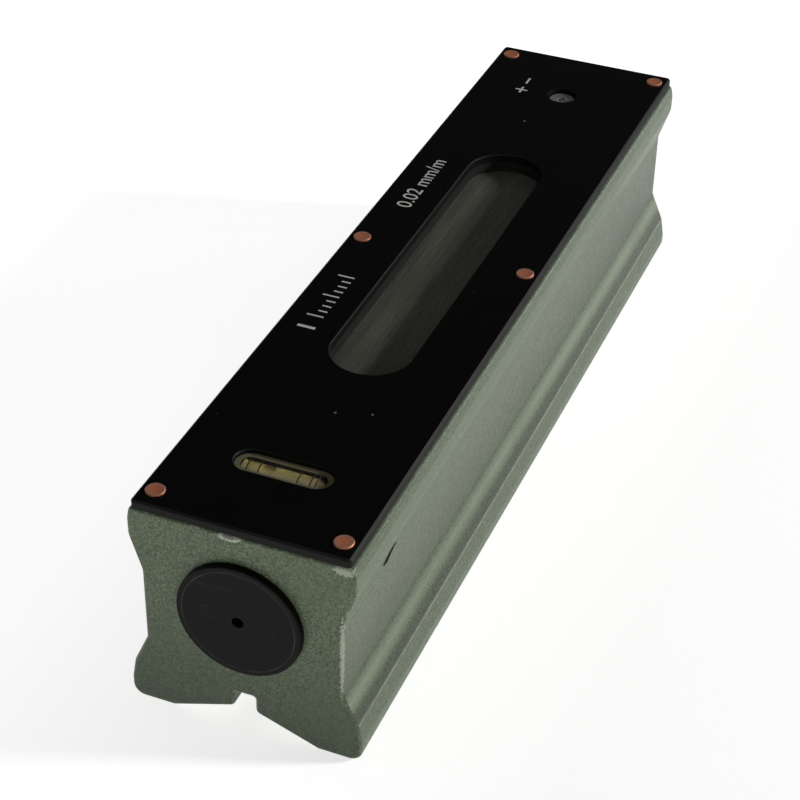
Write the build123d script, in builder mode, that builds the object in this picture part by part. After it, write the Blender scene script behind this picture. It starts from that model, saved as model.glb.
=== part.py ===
from build123d import *
from math import asin, degrees, radians, sqrt, tan
import os

# Precision bar level, in millimetres.
# The origin is on the base plane, at the middle of the length and width. +X runs along
# the level from its near end, which carries the small cross vial, to its far end, which
# carries the adjusting screw. +Z is up.

# Clearances
fit_gap = 0.05            # parts pushed or cemented together
running_gap = 0.05        # turning parts, on the radius
face_gap = 0.05           # faces that slide or turn on each other
seat_gap = 0.3            # a sprung part and the seat that stops it

# Casting: sizes across its section are on each side, and drops are down from the seat
body_length = 200.0
seat_z = 46.8             # top of the casting, which the cover plate lies on
top_width = 44.4
shoulder_bulge = 0.5      # the shoulder beyond the top
shoulder_top_drop = 2.8
shoulder_bottom_drop = 6.5
waist_depth = 2.5         # the waist inside the shoulder
waist_top_drop = 14.4
waist_bottom_z = 15.8
foot_flare = 3.8          # the foot beyond the waist
foot_side_z = 4.4
crease_inset = 0.75       # fine crease between the flare and the side of the foot
crease_z = 8.8
vee_width = 30.2
vee_flank_angle = 20.0    # each flank, from the base plane
slot_width = 4.4          # relief slot at the root of the V
slot_depth = 3.8
end_edge_radius = 0.8
top_edge_radius = 1.4
shoulder_radius = 5.0
shoulder_top_radius = 3.0
waist_radius = 5.0
waist_foot_radius = 1.5
crease_radius = 1.2
foot_side_radius = 3.0
foot_corner_radius = 2.6
vee_edge_radius = 1.2
slot_mouth_radius = 1.2
slot_corner_radius = 0.6

# Lengthways bore and its end caps
bore_radius = 11.2
bore_cover = 1.4          # wall between the bore and the cross vial's pocket
cap_rim = 1.4             # the cap beyond the bore
cap_proud = 1.5
cap_edge_radius = 0.4
cap_spigot_length = 5.0
cap_wall = 1.8
cap_hole_radius = 1.2

# Cover plate and its studs
plate_thickness = 1.8
plate_side_inset = 0.5
plate_end_inset = 0.15
plate_corner_radius = 0.8
plate_edge_chamfer = 0.4
window_chamfer = 0.25
stud_inset = 4.3          # from the casting's end to the end studs
stud_side_inset = 3.6     # from the casting's side to the studs
stud_head_radius = 1.9
stud_head_height = 0.35
stud_head_edge = 0.12
stud_dish_radius = 1.6
stud_dish_depth = 0.1
stud_shank_radius = 1.4
stud_length = 8.0         # under the head
stud_hole_spare = 0.6     # hole depth left under the stud

# Long window: an opening in the plate, over a stepped well that holds the glass pane
window_inset = 52.8       # from the casting's end to the window's end
window_width = 17.0
well_margin = 0.2         # the well is this much wider than the plate's opening
pane_drop = 2.6           # from the casting's top down to the pane
pane_thickness = 2.5
pane_ledge = 1.8

# Cross vial, in a pocket under the small window
cross_inset = 19.4        # from the casting's end to the vial's axis
cross_window_end_gap = 0.3
cross_window_side_gap = 0.3
cross_pocket_margin = 1.0
cross_pocket_bed = 0.3    # cement under the vial
cross_vial_radius = 3.7
cross_vial_length = 19.2
cross_vial_wall = 0.7
cross_vial_end_radius = 2.6
cross_vial_drop = 2.3     # from the casting's top down to the vial's axis
cross_bedding_drop = 0.9  # from the plate's top down to the cement
cross_barrel_sag = 0.12   # how much wider the ground inside is at its middle
cross_bubble_length = 3.2
cross_bubble_depth = 0.9
cross_bubble_y = 3.2

# Carrier of the main vial: a tube with a plug pinned into each end
carrier_gap = 0.8         # between the tube and the bore, for the tilt
carrier_tube_wall = 1.2
carrier_window_width = 13.0
plug_flange_length = 3.5
plug_spigot_length = 8.0
pin_radius = 1.0

# Main vial
vial_bed = 1.0            # cement between the tube and the vial
vial_wall = 1.6
vial_end_space = 4.0      # from the plug to the vial's end
vial_end_radius = 5.0
vial_lift = 0.6           # the vial is bedded this much above the carrier's axis
bedding_length = 7.0
bedding_inset = 1.5       # from the vial's end to the bedding
bedding_clear = 0.5       # from the bedding to the end of the carrier's opening
bubble_length = 28.0
bubble_depth = 1.3
bubble_x = 20.0

# Pivot at the near end: two cone-pointed screws against the tongue of the plug
pivot_inset = 20.5        # from the casting's end to the pivot's axis
pivot_drop = 3.5          # from the tongue's top down to the pivot's axis
pivot_screw_radius = 2.5
pivot_screw_length = 12.0
pivot_point_radius = 0.3
pivot_point_gap = 0.14    # between the cone and its dimple, along the screw
pivot_dimple_radius = 1.3
pivot_socket_width = 2.5
pivot_socket_depth = 2.5
tongue_width = 8.0
tongue_gap = 0.56         # over the tongue's top corners
tongue_fall = 3.9         # from the bore's axis down to the tongue's foot
tongue_reach = 5.5        # from the pivot's axis to the tongue's free end
tongue_root = 8.0         # from the plug's flange to the pivot's axis

# Adjusting screw at the far end
screw_inset = 20.0        # from the casting's end to the screw's axis
screw_radius = 1.5
screw_head_radius = 3.2
screw_head_height = 3.4
screw_head_drop = 1.0     # from the plate's top down to the head
screw_head_chamfer = 0.3
screw_head_gap = 0.3      # round the head, in the plate and in the casting
screw_socket_width = 2.0
screw_socket_depth = 1.6
screw_reach = 3.5         # the screw below the lug
screw_hole_gap = 0.3      # round the shank, in the casting and the washer
washer_thickness = 0.5
lug_width = 10.0
lug_rise = 5.1            # from the bore's axis up to the lug's top
lug_thickness = 5.0
lug_reach = 6.0           # from the screw's axis to the lug's free end
spring_wire = 0.6
spring_radius = 2.6       # mean radius of the coil
spring_turns = 3.5

# Section, worked out from the driving sizes
half_length = body_length / 2
half_top = top_width / 2
half_shoulder = half_top + shoulder_bulge
half_waist = half_shoulder - waist_depth
half_foot = half_waist + foot_flare
vee_root_z = (vee_width - slot_width) / 2 * tan(radians(vee_flank_angle))

# Cover plate and window
plate_top_z = seat_z + plate_thickness
plate_length = body_length - 2 * plate_end_inset
plate_width = top_width - 2 * plate_side_inset
stud_x = half_length - stud_inset
stud_y = half_top - stud_side_inset
stud_places = [(x, y) for x in (-stud_x, 0, stud_x) for y in (-stud_y, stud_y)]
window_length = body_length - 2 * window_inset
well_length = window_length + 2 * well_margin
well_width = window_width + 2 * well_margin
pane_top_z = seat_z - pane_drop
pane_bottom_z = pane_top_z - pane_thickness

# Cross vial
cross_x = cross_inset - half_length
cross_vial_z = seat_z - cross_vial_drop
cross_window_length = cross_vial_length + 2 * cross_window_end_gap
cross_vial_at_seat = sqrt(cross_vial_radius**2 - cross_vial_drop**2)
cross_window_width = 2 * (cross_vial_at_seat + cross_window_side_gap)
cross_floor_z = cross_vial_z - cross_vial_radius - cross_pocket_bed

# Bore and what turns in it
bore_z = cross_floor_z - bore_cover - bore_radius
bore_axis = Axis((0, 0, bore_z), (1, 0, 0))
pivot_x = pivot_inset - half_length
screw_x = half_length - screw_inset
carrier_tube_radius = bore_radius - carrier_gap
carrier_tube_bore = carrier_tube_radius - carrier_tube_wall
plug_end = -pivot_x - tongue_root
carrier_tube_half = plug_end - plug_flange_length
tongue_top_z = bore_z + sqrt(bore_radius**2 - (tongue_width / 2) ** 2) - tongue_gap
tongue_bottom_z = bore_z - tongue_fall
pivot_z = tongue_top_z - pivot_drop
lug_top_z = bore_z + lug_rise

# Main vial
vial_radius = carrier_tube_bore - vial_bed
vial_bore = vial_radius - vial_wall
vial_z = bore_z + vial_lift
vial_axis = Axis((0, 0, vial_z), (1, 0, 0))
vial_half = carrier_tube_half - plug_spigot_length - vial_end_space
bedding_start = vial_half - bedding_inset - bedding_length

# Adjusting screw and its seat
head_top_z = plate_top_z - screw_head_drop
head_bottom_z = head_top_z - screw_head_height
washer_top_z = head_bottom_z - face_gap
counterbore_floor_z = washer_top_z - washer_thickness
head_hole_radius = screw_head_radius + screw_head_gap
screw_tip_z = lug_top_z - lug_thickness - screw_reach
os.makedirs("parts", exist_ok=True)


def write(builder, name):
    """Label a finished piece and write it to its own file."""
    builder.part.label = name
    export_step(builder.part, f"parts/{name}.step")


# Level casting: one drawn section with its flares and V, then the bores and pockets
section_points = [
    (0, seat_z),
    (half_top, seat_z),
    (half_shoulder, seat_z - shoulder_top_drop),
    (half_shoulder, seat_z - shoulder_bottom_drop),
    (half_waist, seat_z - waist_top_drop),
    (half_waist, waist_bottom_z),
    (half_foot - crease_inset, crease_z),
    (half_foot, foot_side_z),
    (half_foot, 0),
    (vee_width / 2, 0),
    (slot_width / 2, vee_root_z),
    (slot_width / 2, vee_root_z + slot_depth),
    (0, vee_root_z + slot_depth),
]
section_radii = [
    top_edge_radius,
    shoulder_top_radius,
    shoulder_radius,
    waist_radius,
    waist_foot_radius,
    crease_radius,
    foot_side_radius,
    foot_corner_radius,
    vee_edge_radius,
    slot_mouth_radius,
    slot_corner_radius,
]
with BuildPart() as level_casting:
    with BuildSketch(Plane.YZ):
        with BuildLine():
            FilletPolyline(*section_points, radius=section_radii)
            mirror(about=Plane.YZ)
        make_face()
    extrude(amount=half_length, both=True)
    end_faces = level_casting.faces().filter_by(Axis.X)
    fillet(end_faces.edges(), end_edge_radius)
    with BuildSketch(Plane.YZ):
        with Locations((0, bore_z)):
            Circle(bore_radius)
    extrude(amount=half_length, both=True, mode=Mode.SUBTRACT)
    with BuildSketch(Plane.XY.offset(pane_bottom_z)):
        SlotOverall(well_length, well_width)
    extrude(amount=seat_z - pane_bottom_z, mode=Mode.SUBTRACT)
    with BuildSketch(Plane.XY.offset(bore_z)):
        SlotOverall(well_length - 2 * pane_ledge, well_width - 2 * pane_ledge)
    extrude(amount=pane_bottom_z - bore_z, mode=Mode.SUBTRACT)
    with BuildSketch(Plane.XY.offset(cross_floor_z)):
        with Locations((cross_x, 0)):
            SlotOverall(
                cross_window_length + 2 * cross_pocket_margin,
                cross_window_width + 2 * cross_pocket_margin,
                rotation=90,
            )
    extrude(amount=seat_z - cross_floor_z, mode=Mode.SUBTRACT)
    with Locations((screw_x, 0, seat_z)):
        CounterBoreHole(
            radius=screw_radius + screw_hole_gap,
            counter_bore_radius=head_hole_radius,
            counter_bore_depth=seat_z - counterbore_floor_z,
            depth=seat_z - bore_z,
        )
    with BuildSketch(Plane.XZ):
        with Locations((pivot_x, pivot_z)):
            Circle(pivot_screw_radius + fit_gap)
    extrude(amount=half_foot, both=True, mode=Mode.SUBTRACT)
    with Locations(*[(x, y, seat_z) for x, y in stud_places]):
        Hole(
            radius=stud_shank_radius + fit_gap,
            depth=stud_length - plate_thickness + stud_hole_spare,
        )
write(level_casting, "level_casting")

# Cover plate: a chamfered plate with both windows, the adjuster's hole and stud holes
with BuildPart() as cover_plate:
    with BuildSketch(Plane.XY.offset(seat_z)):
        RectangleRounded(plate_length, plate_width, plate_corner_radius)
        SlotOverall(window_length, window_width, mode=Mode.SUBTRACT)
        with Locations((cross_x, 0)):
            SlotOverall(cross_window_length, cross_window_width, rotation=90, mode=Mode.SUBTRACT)
        with Locations((screw_x, 0)):
            Circle(head_hole_radius, mode=Mode.SUBTRACT)
        with Locations(*stud_places):
            Circle(stud_shank_radius + fit_gap, mode=Mode.SUBTRACT)
    extrude(amount=plate_thickness)
    rim = cover_plate.faces().sort_by(Axis.Z)[-1].outer_wire()
    chamfer(rim.edges(), plate_edge_chamfer)
    openings = cover_plate.faces().sort_by(Axis.Z)[-1].inner_wires()
    windows = openings.filter_by(lambda wire: wire.length > 2 * cross_window_length)
    chamfer(windows.edges(), window_chamfer)
write(cover_plate, "cover_plate")

# Cover studs: dished heads on plain shanks, driven into the casting
dish_sphere_radius = (stud_dish_radius**2 + stud_dish_depth**2) / (2 * stud_dish_depth)
dish_bottom = stud_head_height - stud_dish_depth
stud_outline = [
    (0, dish_bottom),
    (0, -stud_length),
    (stud_shank_radius, -stud_length),
    (stud_shank_radius, 0),
    (stud_head_radius, 0),
    (stud_head_radius, stud_head_height - stud_head_edge),
    (stud_head_radius - stud_head_edge, stud_head_height),
    (stud_dish_radius, stud_head_height),
]
with BuildPart() as cover_studs:
    for x, y in stud_places:
        stud_plane = Plane(origin=(x, y, plate_top_z), x_dir=(1, 0, 0), z_dir=(0, -1, 0))
        with BuildSketch(stud_plane):
            with BuildLine():
                Polyline(*stud_outline)
                CenterArc(
                    center=(0, dish_bottom + dish_sphere_radius),
                    radius=dish_sphere_radius,
                    start_angle=270,
                    arc_size=degrees(asin(stud_dish_radius / dish_sphere_radius)),
                )
            make_face()
        revolve(axis=Axis((x, y, 0), (0, 0, 1)))
write(cover_studs, "cover_studs")

# Window pane: a glass slip lying on the well's ledge
with BuildPart() as window_pane:
    with BuildSketch(Plane.XY.offset(pane_bottom_z)):
        SlotOverall(well_length - 2 * fit_gap, well_width - 2 * fit_gap)
    extrude(amount=pane_thickness)
write(window_pane, "window_pane")

# End caps: moulded cups, each pushed into an end of the bore
cap_spigot_radius = bore_radius - fit_gap
for name, side in (("near_end_cap", -1), ("far_end_cap", 1)):
    cap_points = [
        (half_length - cap_spigot_length, cap_spigot_radius - cap_wall),
        (half_length - cap_spigot_length, cap_spigot_radius),
        (half_length, cap_spigot_radius),
        (half_length, bore_radius + cap_rim),
        (half_length + cap_proud, bore_radius + cap_rim),
        (half_length + cap_proud, cap_hole_radius),
        (half_length - cap_wall + cap_proud, cap_hole_radius),
        (half_length - cap_wall + cap_proud, cap_spigot_radius - cap_wall),
    ]
    with BuildPart() as end_cap:
        with BuildSketch(Plane.XZ):
            with BuildLine():
                Polyline(*[(side * x, bore_z + r) for x, r in cap_points], close=True)
            make_face()
        revolve(axis=bore_axis)
        rim = end_cap.faces().filter_by(Axis.X).sort_by(Axis.X)[-1 if side > 0 else 0].outer_wire()
        fillet(rim.edges(), cap_edge_radius)
    write(end_cap, name)

# Cross vial: a short glass tube closed at both ends and ground barrel-shaped inside
cross_half = cross_vial_length / 2
cross_bore_half = cross_half - 2 * cross_vial_wall
cross_bore_end = cross_vial_radius - cross_vial_wall - cross_barrel_sag
cross_axis = Axis((cross_x, 0, cross_vial_z), (0, 1, 0))
cross_plane = Plane(origin=(cross_x, 0, cross_vial_z), x_dir=(0, 1, 0), z_dir=(1, 0, 0))


def cross_barrel(gap):
    """Half outline of the ground inside of the cross vial, drawn smaller by a gap."""
    end = cross_bore_half - gap
    with BuildLine() as outline:
        Line((-end, 0), (-end, cross_bore_end - gap))
        ThreePointArc(
            (-end, cross_bore_end - gap),
            (0, cross_bore_end + cross_barrel_sag - gap),
            (end, cross_bore_end - gap),
        )
        Line((end, cross_bore_end - gap), (end, 0))
        Line((end, 0), (-end, 0))
    return outline.line


with BuildPart() as cross_vial_glass:
    with BuildSketch(cross_plane):
        with BuildLine():
            FilletPolyline(
                (-cross_half, 0),
                (-cross_half, cross_vial_radius),
                (cross_half, cross_vial_radius),
                (cross_half, 0),
                radius=cross_vial_end_radius,
            )
            Line((cross_half, 0), (-cross_half, 0))
        make_face()
        add(make_face(cross_barrel(0).edges(), mode=Mode.PRIVATE), mode=Mode.SUBTRACT)
    revolve(axis=cross_axis)
write(cross_vial_glass, "cross_vial_glass")

with BuildPart() as cross_vial_liquid:
    with BuildSketch(cross_plane):
        add(make_face(cross_barrel(fit_gap).edges(), mode=Mode.PRIVATE))
    revolve(axis=cross_axis)
    bubble_floor_z = cross_vial_z + cross_bore_end + cross_barrel_sag - cross_bubble_depth
    with BuildSketch(Plane.XY.offset(bubble_floor_z)):
        with Locations((cross_x, cross_bubble_y)):
            Circle(cross_bubble_length / 2)
    extrude(amount=2 * cross_bubble_depth, mode=Mode.SUBTRACT)
write(cross_vial_liquid, "cross_vial_liquid")

# Cross vial bedding: cement that fills the pocket, and the window round the vial's crown
with BuildPart() as cross_vial_bedding:
    with BuildSketch(Plane.XY.offset(cross_floor_z)):
        with Locations((cross_x, 0)):
            SlotOverall(
                cross_window_length + 2 * (cross_pocket_margin - fit_gap),
                cross_window_width + 2 * (cross_pocket_margin - fit_gap),
                rotation=90,
            )
    extrude(amount=seat_z - face_gap - cross_floor_z)
    with BuildSketch(Plane.XY.offset(cross_floor_z)):
        with Locations((cross_x, 0)):
            SlotOverall(
                cross_window_length - 2 * fit_gap,
                cross_window_width - 2 * fit_gap,
                rotation=90,
            )
    extrude(amount=plate_top_z - cross_bedding_drop - cross_floor_z)
    with BuildSketch(cross_plane):
        with BuildLine():
            FilletPolyline(
                (-cross_half - fit_gap, 0),
                (-cross_half - fit_gap, cross_vial_radius + fit_gap),
                (cross_half + fit_gap, cross_vial_radius + fit_gap),
                (cross_half + fit_gap, 0),
                radius=cross_vial_end_radius,
            )
            Line((cross_half + fit_gap, 0), (-cross_half - fit_gap, 0))
        make_face()
    revolve(axis=cross_axis, mode=Mode.SUBTRACT)
write(cross_vial_bedding, "cross_vial_bedding")

# Pivot screws: cone-pointed set screws that carry the near end of the vial's carrier
pivot_tip = tongue_width / 2 - pivot_dimple_radius + pivot_point_gap + pivot_point_radius
pivot_cone_length = pivot_screw_radius - pivot_point_radius
for name, side in (("front_pivot_screw", -1), ("rear_pivot_screw", 1)):
    pivot_points = [
        (pivot_tip, 0),
        (pivot_tip, pivot_point_radius),
        (pivot_tip + pivot_cone_length, pivot_screw_radius),
        (pivot_tip + pivot_screw_length, pivot_screw_radius),
        (pivot_tip + pivot_screw_length, 0),
    ]
    pivot_plane = Plane(origin=(pivot_x, 0, pivot_z), x_dir=(0, side, 0), z_dir=(side, 0, 0))
    with BuildPart() as pivot_screw:
        with BuildSketch(pivot_plane):
            with BuildLine():
                Polyline(*pivot_points, close=True)
            make_face()
        revolve(axis=Axis((pivot_x, 0, pivot_z), (0, 1, 0)))
        socket_face = pivot_screw.faces().filter_by(Axis.Y).sort_by(Axis.Y)[-1 if side > 0 else 0]
        with BuildSketch(Plane(socket_face)):
            RegularPolygon(pivot_socket_width / 2, 6, major_radius=False)
        extrude(amount=-pivot_socket_depth, mode=Mode.SUBTRACT)
    write(pivot_screw, name)

# Carrier tube: open at the top over the vial, with a plug pinned into each end
pin_x = carrier_tube_half - plug_spigot_length / 2
pin_places = [(-pin_x, bore_z), (pin_x, bore_z)]
with BuildPart() as carrier_tube:
    with BuildSketch(Plane.YZ):
        with Locations((0, bore_z)):
            Circle(carrier_tube_radius)
            Circle(carrier_tube_bore, mode=Mode.SUBTRACT)
    extrude(amount=carrier_tube_half, both=True)
    with BuildSketch(Plane.XY.offset(bore_z)):
        SlotOverall(2 * (bedding_start - bedding_clear), carrier_window_width)
    extrude(amount=2 * carrier_tube_radius, mode=Mode.SUBTRACT)
    with BuildSketch(Plane.XZ):
        with Locations(*pin_places):
            Circle(pin_radius + fit_gap)
    extrude(amount=2 * carrier_tube_radius, both=True, mode=Mode.SUBTRACT)
write(carrier_tube, "carrier_tube")

with BuildPart() as carrier_pins:
    with BuildSketch(Plane.XZ):
        with Locations(*pin_places):
            Circle(pin_radius)
    extrude(amount=carrier_tube_radius, both=True)
write(carrier_pins, "carrier_pins")


def plug_outline(side):
    """Half outline of a carrier plug: a spigot for the tube and a flange against its end."""
    spigot_end = carrier_tube_half - plug_spigot_length
    points = [
        (spigot_end, 0),
        (spigot_end, carrier_tube_bore - fit_gap),
        (carrier_tube_half, carrier_tube_bore - fit_gap),
        (carrier_tube_half, carrier_tube_radius),
        (plug_end, carrier_tube_radius),
        (plug_end, 0),
    ]
    return [(side * x, bore_z + r) for x, r in points]


# Near plug: its tongue stands between the two pivot screws
tongue_end = -pivot_x + tongue_reach
with BuildPart() as near_pivot_plug:
    with BuildSketch(Plane.XZ):
        with BuildLine():
            Polyline(*plug_outline(-1), close=True)
        make_face()
    revolve(axis=bore_axis)
    with BuildSketch(Plane.YZ.offset(-tongue_end)):
        with Locations((0, (tongue_top_z + tongue_bottom_z) / 2)):
            Rectangle(tongue_width, tongue_top_z - tongue_bottom_z)
    extrude(amount=tongue_end - plug_end)
    with BuildSketch(Plane.XZ):
        with Locations(pin_places[0]):
            Circle(pin_radius + fit_gap)
    extrude(amount=carrier_tube_radius, both=True, mode=Mode.SUBTRACT)
    for side in (-1, 1):
        dimple_plane = Plane(origin=(pivot_x, 0, pivot_z), x_dir=(0, side, 0), z_dir=(side, 0, 0))
        with BuildSketch(dimple_plane):
            with BuildLine():
                Polyline(
                    (tongue_width / 2 - pivot_dimple_radius, 0),
                    (tongue_width / 2, pivot_dimple_radius),
                    (tongue_width / 2, 0),
                    close=True,
                )
            make_face()
        revolve(axis=Axis((pivot_x, 0, pivot_z), (0, 1, 0)), mode=Mode.SUBTRACT)
write(near_pivot_plug, "near_pivot_plug")

# Far plug: its lug is threaded on the adjusting screw
lug_end = screw_x + lug_reach
lug_straight = lug_end - lug_width / 2
with BuildPart() as far_lug_plug:
    with BuildSketch(Plane.XZ):
        with BuildLine():
            Polyline(*plug_outline(1), close=True)
        make_face()
    revolve(axis=bore_axis)
    with BuildSketch(Plane.XY.offset(lug_top_z)):
        with BuildLine():
            Polyline(
                (plug_end, -lug_width / 2),
                (lug_straight, -lug_width / 2),
            )
            ThreePointArc(
                (lug_straight, -lug_width / 2),
                (lug_end, 0),
                (lug_straight, lug_width / 2),
            )
            Polyline(
                (lug_straight, lug_width / 2),
                (plug_end, lug_width / 2),
                (plug_end, -lug_width / 2),
            )
        make_face()
    extrude(amount=-lug_thickness)
    with BuildSketch(Plane.XZ):
        with Locations(pin_places[1]):
            Circle(pin_radius + fit_gap)
    extrude(amount=carrier_tube_radius, both=True, mode=Mode.SUBTRACT)
    with Locations((screw_x, 0, lug_top_z)):
        Hole(radius=screw_radius + running_gap, depth=lug_thickness)
write(far_lug_plug, "far_lug_plug")

# Main vial: a glass tube closed at both ends, and the liquid that leaves its bubble free
vial_bore_half = vial_half - 2 * vial_wall
with BuildPart() as main_vial_glass:
    with BuildSketch(Plane.XZ):
        with BuildLine():
            FilletPolyline(
                (-vial_half, vial_z),
                (-vial_half, vial_z + vial_radius),
                (vial_half, vial_z + vial_radius),
                (vial_half, vial_z),
                radius=vial_end_radius,
            )
            Line((vial_half, vial_z), (-vial_half, vial_z))
        make_face()
        with BuildLine():
            FilletPolyline(
                (-vial_bore_half, vial_z),
                (-vial_bore_half, vial_z + vial_bore),
                (vial_bore_half, vial_z + vial_bore),
                (vial_bore_half, vial_z),
                radius=vial_end_radius - vial_wall,
            )
            Line((vial_bore_half, vial_z), (-vial_bore_half, vial_z))
        make_face(mode=Mode.SUBTRACT)
    revolve(axis=vial_axis)
write(main_vial_glass, "main_vial_glass")

liquid_half = vial_bore_half - fit_gap
liquid_radius = vial_bore - fit_gap
bubble_width = 2 * sqrt(vial_bore**2 - (vial_bore - bubble_depth) ** 2)
with BuildPart() as main_vial_liquid:
    with BuildSketch(Plane.XZ):
        with BuildLine():
            FilletPolyline(
                (-liquid_half, vial_z),
                (-liquid_half, vial_z + liquid_radius),
                (liquid_half, vial_z + liquid_radius),
                (liquid_half, vial_z),
                radius=vial_end_radius - vial_wall,
            )
            Line((liquid_half, vial_z), (-liquid_half, vial_z))
        make_face()
    revolve(axis=vial_axis)
    with BuildSketch(Plane.XY.offset(vial_z + vial_bore - bubble_depth)):
        with Locations((bubble_x, 0)):
            SlotOverall(bubble_length, bubble_width)
    extrude(amount=2 * bubble_depth, mode=Mode.SUBTRACT)
write(main_vial_liquid, "main_vial_liquid")

# Vial beddings: cement collars between the vial and its carrier, one at each end
for name, side in (("near_vial_bedding", -1), ("far_vial_bedding", 1)):
    with BuildPart() as vial_bedding:
        with BuildSketch(Plane.YZ.offset(side * bedding_start)):
            with Locations((0, bore_z)):
                Circle(carrier_tube_bore - fit_gap)
            with Locations((0, vial_z)):
                Circle(vial_radius + fit_gap, mode=Mode.SUBTRACT)
        extrude(amount=side * bedding_length)
    write(vial_bedding, name)

# Adjusting screw: held down by its head, and threaded through the lug
with BuildPart() as adjusting_screw:
    with BuildSketch(Plane.XY.offset(head_bottom_z)):
        with Locations((screw_x, 0)):
            Circle(screw_head_radius)
    extrude(amount=screw_head_height)
    head_top = adjusting_screw.faces().sort_by(Axis.Z)[-1]
    chamfer(head_top.edges(), screw_head_chamfer)
    with BuildSketch(Plane.XY.offset(screw_tip_z)):
        with Locations((screw_x, 0)):
            Circle(screw_radius)
    extrude(amount=head_bottom_z - screw_tip_z)
    screw_tip = adjusting_screw.faces().sort_by(Axis.Z)[0]
    chamfer(screw_tip.edges(), screw_head_chamfer)
    with BuildSketch(Plane.XY.offset(head_top_z)):
        with Locations((screw_x, 0)):
            RegularPolygon(screw_socket_width / 2, 6, major_radius=False)
    extrude(amount=-screw_socket_depth, mode=Mode.SUBTRACT)
write(adjusting_screw, "adjusting_screw")

with BuildPart() as thrust_washer:
    with BuildSketch(Plane.XY.offset(counterbore_floor_z)):
        with Locations((screw_x, 0)):
            Circle(screw_head_radius)
            Circle(screw_radius + screw_hole_gap, mode=Mode.SUBTRACT)
    extrude(amount=washer_thickness)
write(thrust_washer, "thrust_washer")

# Adjusting spring: pushes the lug down, away from the bore's roof. Its wire is eight-sided,
# which keeps the coil light
spring_edge = spring_radius + spring_wire / 2
roof_z = bore_z + sqrt(bore_radius**2 - spring_edge**2)
spring_height = roof_z - seat_gap - lug_top_z
coil_pitch = (spring_height - spring_wire) / spring_turns
with BuildPart() as adjusting_spring:
    with BuildLine() as coil:
        Helix(
            pitch=coil_pitch,
            height=coil_pitch * spring_turns,
            radius=spring_radius,
            center=(screw_x, 0, lug_top_z + spring_wire / 2),
        )
    with BuildSketch(Plane(coil.line @ 0, z_dir=coil.line % 0)):
        RegularPolygon(spring_wire / 2, 8)
    sweep(path=coil.line, is_frenet=True)
write(adjusting_spring, "adjusting_spring")
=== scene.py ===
import math

import bpy
from mathutils import Matrix, Vector


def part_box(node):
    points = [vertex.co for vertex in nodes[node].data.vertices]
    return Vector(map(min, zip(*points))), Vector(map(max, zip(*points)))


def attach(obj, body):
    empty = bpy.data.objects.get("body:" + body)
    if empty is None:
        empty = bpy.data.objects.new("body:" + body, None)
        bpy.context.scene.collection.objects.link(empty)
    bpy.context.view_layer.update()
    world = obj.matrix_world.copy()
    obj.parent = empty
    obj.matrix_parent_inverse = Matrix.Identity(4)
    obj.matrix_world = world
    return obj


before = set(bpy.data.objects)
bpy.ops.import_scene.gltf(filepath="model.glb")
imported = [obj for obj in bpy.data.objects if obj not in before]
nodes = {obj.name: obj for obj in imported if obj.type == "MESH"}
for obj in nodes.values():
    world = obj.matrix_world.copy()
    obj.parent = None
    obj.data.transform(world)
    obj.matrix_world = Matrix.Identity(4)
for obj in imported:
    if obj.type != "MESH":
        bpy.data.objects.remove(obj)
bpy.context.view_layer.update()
scene = bpy.context.scene

MM = 0.001

# Places on the level, in metres in the shared frame
plate_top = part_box("cover_plate")[1].z
stud_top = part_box("cover_studs")[1].z
end_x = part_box("level_casting")[1].x
vial_low, vial_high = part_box("main_vial_glass")
cross_low, cross_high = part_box("cross_vial_glass")
cap_low, cap_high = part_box("near_end_cap")
bore_z = (cap_low.z + cap_high.z) / 2
cap_radius = (cap_high.z - cap_low.z) / 2
cross_x = (cross_low.x + cross_high.x) / 2
cross_z = (cross_low.z + cross_high.z) / 2
cross_radius = (cross_high.z - cross_low.z) / 2
vial_z = (vial_low.z + vial_high.z) / 2
vial_radius = (vial_high.z - vial_low.z) / 2

# Features of the casting that its finish follows
# Height of a painted shade line under the shoulder
shade_line_z = 41 * MM
crease_z = 8.8 * MM
# Height of a painted highlight band where the flare starts
highlight_band_z = 13.2 * MM
side_y = (19 * MM, 19.6 * MM)
vee_half_width = 15.1 * MM
vee_slope = math.tan(math.radians(20))
bore_radius = 11.3 * MM
well_half_length, well_half_width = 47.6 * MM, 8.9 * MM
pocket_half_length, pocket_half_width = 4.4 * MM, 11.4 * MM

# Painted shade on the sides, as heights in millimetres and shares of the clean paint: darkest just above the
# crease, dark in the waist and at the foot's lower edge, full where the flare starts
side_shade_top = 40
side_shade = [
    (0.0, 0.72), (2.5, 0.95), (8.4, 0.92), (9.4, 0.55), (10.6, 0.6), (12.0, 1.0),
    (14.4, 1.0), (16.2, 0.72), (19.5, 0.72), (28.0, 0.9), (36.0, 1.0),
]

# Short names for the kinds of node used most. A RANGE takes a value, its low and high, and
# what they become, as inputs 0 to 4. A MIX takes a share as 0, with numbers as 2 and 3 or
# colours as 6 and 7.
MATH, RANGE, MIX = "ShaderNodeMath", "ShaderNodeMapRange", "ShaderNodeMix"
SPLIT, BUMP, VECTOR = "ShaderNodeSeparateXYZ", "ShaderNodeBump", "ShaderNodeVectorMath"
PRINCIPLED, DIFFUSE = "ShaderNodeBsdfPrincipled", "ShaderNodeBsdfDiffuse"
MIX_SHADER, OUTPUT = "ShaderNodeMixShader", "ShaderNodeOutputMaterial"


def linear(code):
    """An sRGB hex colour as linear red, green, blue and alpha."""
    parts = [int(code[i : i + 2], 16) / 255 for i in (1, 3, 5)]
    return [p / 12.92 if p <= 0.04045 else ((p + 0.055) / 1.055) ** 2.4 for p in parts] + [1.0]


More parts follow.
